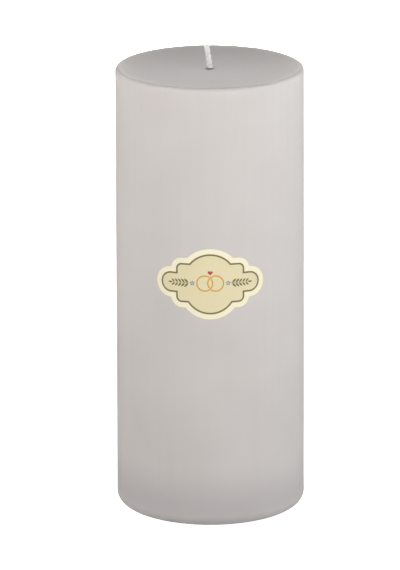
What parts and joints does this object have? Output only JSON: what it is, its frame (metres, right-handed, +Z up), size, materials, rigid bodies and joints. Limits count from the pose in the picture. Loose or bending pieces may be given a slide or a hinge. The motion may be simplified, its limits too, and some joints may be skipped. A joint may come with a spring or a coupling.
{
  "type": "pillar candle",
  "caption": "Tall white paraffin pillar candle for a wedding, with a flat top, a short braided wick and a scalloped paper label on the front.",
  "frame": {"origin": "centre of the base, on the surface that the candle stands on", "axes": "+Z up along the candle's axis; -Y is the front, where the label is; +X is to the right of someone who looks at the label"},
  "size_m": [0.0756, 0.0756, 0.1888],
  "materials": {
    "paraffin_wax": "cast paraffin, smooth, semi-gloss, slightly translucent",
    "wick_cotton": "braided cotton, waxed",
    "tinned_steel": "stamped tin plate",
    "label_paper": "printed self-adhesive paper, satin"
  },
  "bodies": {
    "root": {"wax_pillar": "paraffin_wax", "wick": "wick_cotton", "wick_tab": "tinned_steel", "front_label": "label_paper"}
  },
  "joints": []
}
